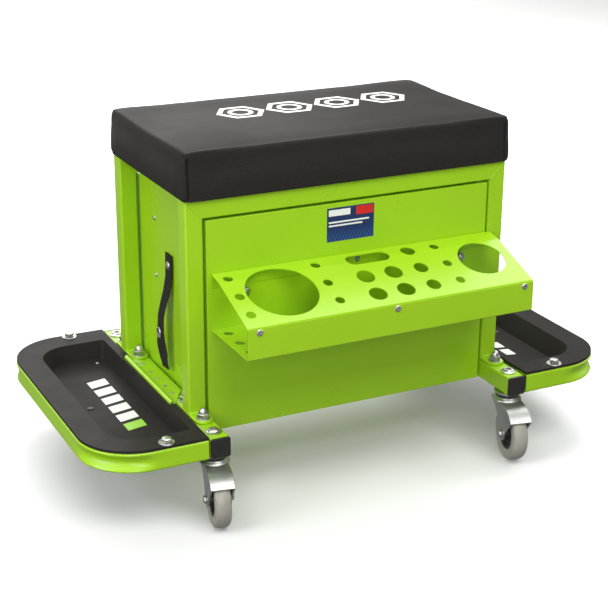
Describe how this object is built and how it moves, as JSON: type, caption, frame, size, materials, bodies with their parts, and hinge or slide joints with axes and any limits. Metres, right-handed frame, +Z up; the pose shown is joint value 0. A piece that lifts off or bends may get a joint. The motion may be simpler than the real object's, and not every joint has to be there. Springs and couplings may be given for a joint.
{
  "type": "rolling mechanic seat",
  "caption": "Rolling workshop seat with padded top, drawer cabinet, front tool rack with can and driver holes, fold-up side trays and swivel castors.",
  "frame": {"origin": "on the floor under the middle of the whole object's box, with the trays folded out and all castors trailing to -Y, swung 12 degrees", "axes": "+Z up, +X from the left tray to the right tray, +Y from the tool rack towards the drawer fronts"},
  "size_m": [0.637, 0.3704, 0.388],
  "materials": {
    "green_paint": "gloss powder coat, lime green",
    "black_plastic": "fine textured moulding",
    "seat_vinyl": "semi-matt grained vinyl",
    "plywood": "plain plywood",
    "zinc_plate": "bright zinc plate",
    "strap_webbing": "woven webbing",
    "tread_rubber": "grey thermoplastic rubber"
  },
  "bodies": {
    "frame": {"front_frame": "green_paint", "rear_frame": "green_paint", "front_panel": "green_paint", "cabinet_floor": "green_paint", "rack_top": "green_paint", "rack_base": "green_paint", "seat_board": "plywood", "seat_cushion": "seat_vinyl", "left_base_tube": "green_paint", "left_side_panel": "green_paint", "left_strap": "strap_webbing", "left_hinge_fixed_leaf": "green_paint", "left_hinge_pin": "zinc_plate", "left_top_runner": "zinc_plate", "left_middle_runner": "zinc_plate", "left_bottom_runner": "zinc_plate", "right_base_tube": "green_paint", "right_side_panel": "green_paint", "right_strap": "strap_webbing", "right_hinge_fixed_leaf": "green_paint", "right_hinge_pin": "zinc_plate", "right_top_runner": "zinc_plate", "right_middle_runner": "zinc_plate", "right_bottom_runner": "zinc_plate", "front_left_end_cap": "black_plastic", "front_left_castor_stem": "zinc_plate", "rear_left_end_cap": "black_plastic", "rear_left_castor_stem": "zinc_plate", "front_right_end_cap": "black_plastic", "front_right_castor_stem": "zinc_plate", "rear_right_end_cap": "black_plastic", "rear_right_castor_stem": "zinc_plate"},
    "top_drawer_body": {"top_drawer": "green_paint", "top_drawer_handle": "black_plastic"},
    "middle_drawer_body": {"middle_drawer": "green_paint", "middle_drawer_handle": "black_plastic"},
    "bottom_drawer_body": {"bottom_drawer": "green_paint", "bottom_drawer_handle": "black_plastic"},
    "left_tray": {"left_tray_frame": "green_paint", "left_tray_moulding": "black_plastic", "left_hinge_moving_leaf": "green_paint"},
    "right_tray": {"right_tray_frame": "green_paint", "right_tray_moulding": "black_plastic", "right_hinge_moving_leaf": "green_paint"},
    "front_left_castor": {"front_left_castor_fork": "zinc_plate", "front_left_castor_axle": "zinc_plate"},
    "front_left_wheel": {"front_left_castor_hub": "black_plastic", "front_left_castor_tread": "tread_rubber"},
    "rear_left_castor": {"rear_left_castor_fork": "zinc_plate", "rear_left_castor_axle": "zinc_plate"},
    "rear_left_wheel": {"rear_left_castor_hub": "black_plastic", "rear_left_castor_tread": "tread_rubber"},
    "front_right_castor": {"front_right_castor_fork": "zinc_plate", "front_right_castor_axle": "zinc_plate"},
    "front_right_wheel": {"front_right_castor_hub": "black_plastic", "front_right_castor_tread": "tread_rubber"},
    "rear_right_castor": {"rear_right_castor_fork": "zinc_plate", "rear_right_castor_axle": "zinc_plate"},
    "rear_right_wheel": {"rear_right_castor_hub": "black_plastic", "rear_right_castor_tread": "tread_rubber"}
  },
  "joints": [
    {"name": "top_drawer_slide", "type": "slide", "parent": "frame", "child": "top_drawer_body", "axis": [0, 1, 0], "range_m": [0, 0.15]},
    {"name": "middle_drawer_slide", "type": "slide", "parent": "frame", "child": "middle_drawer_body", "axis": [0, 1, 0], "range_m": [0, 0.15]},
    {"name": "bottom_drawer_slide", "type": "slide", "parent": "frame", "child": "bottom_drawer_body", "axis": [0, 1, 0], "range_m": [0, 0.15]},
    {"name": "left_tray_hinge", "type": "hinge", "parent": "frame", "child": "left_tray", "pos_m": [-0.199, 0.01572, 0.1016], "axis": [0, 1, 0], "range_deg": [0, 90]},
    {"name": "right_tray_hinge", "type": "hinge", "parent": "frame", "child": "right_tray", "pos_m": [0.199, 0.01572, 0.1016], "axis": [0, -1, 0], "range_deg": [0, 90]},
    {"name": "front_left_castor_swivel", "type": "hinge", "parent": "frame", "child": "front_left_castor", "pos_m": [-0.1835, -0.13478, 0.067], "axis": [0, 0, 1], "continuous": true},
    {"name": "front_left_wheel_spin", "type": "hinge", "parent": "front_left_castor", "child": "front_left_wheel", "pos_m": [-0.18766, -0.15434, 0.0315], "axis": [0.9781, -0.2079, 0], "continuous": true},
    {"name": "rear_left_castor_swivel", "type": "hinge", "parent": "frame", "child": "rear_left_castor", "pos_m": [-0.1835, 0.16622, 0.067], "axis": [0, 0, 1], "continuous": true},
    {"name": "rear_left_wheel_spin", "type": "hinge", "parent": "rear_left_castor", "child": "rear_left_wheel", "pos_m": [-0.18766, 0.14666, 0.0315], "axis": [0.9781, -0.2079, 0], "continuous": true},
    {"name": "front_right_castor_swivel", "type": "hinge", "parent": "frame", "child": "front_right_castor", "pos_m": [0.1835, -0.13478, 0.067], "axis": [0, 0, 1], "continuous": true},
    {"name": "front_right_wheel_spin", "type": "hinge", "parent": "front_right_castor", "child": "front_right_wheel", "pos_m": [0.17934, -0.15434, 0.0315], "axis": [0.9781, -0.2079, 0], "continuous": true},
    {"name": "rear_right_castor_swivel", "type": "hinge", "parent": "frame", "child": "rear_right_castor", "pos_m": [0.1835, 0.16622, 0.067], "axis": [0, 0, 1], "continuous": true},
    {"name": "rear_right_wheel_spin", "type": "hinge", "parent": "rear_right_castor", "child": "rear_right_wheel", "pos_m": [0.17934, 0.14666, 0.0315], "axis": [0.9781, -0.2079, 0], "continuous": true}
  ]
}
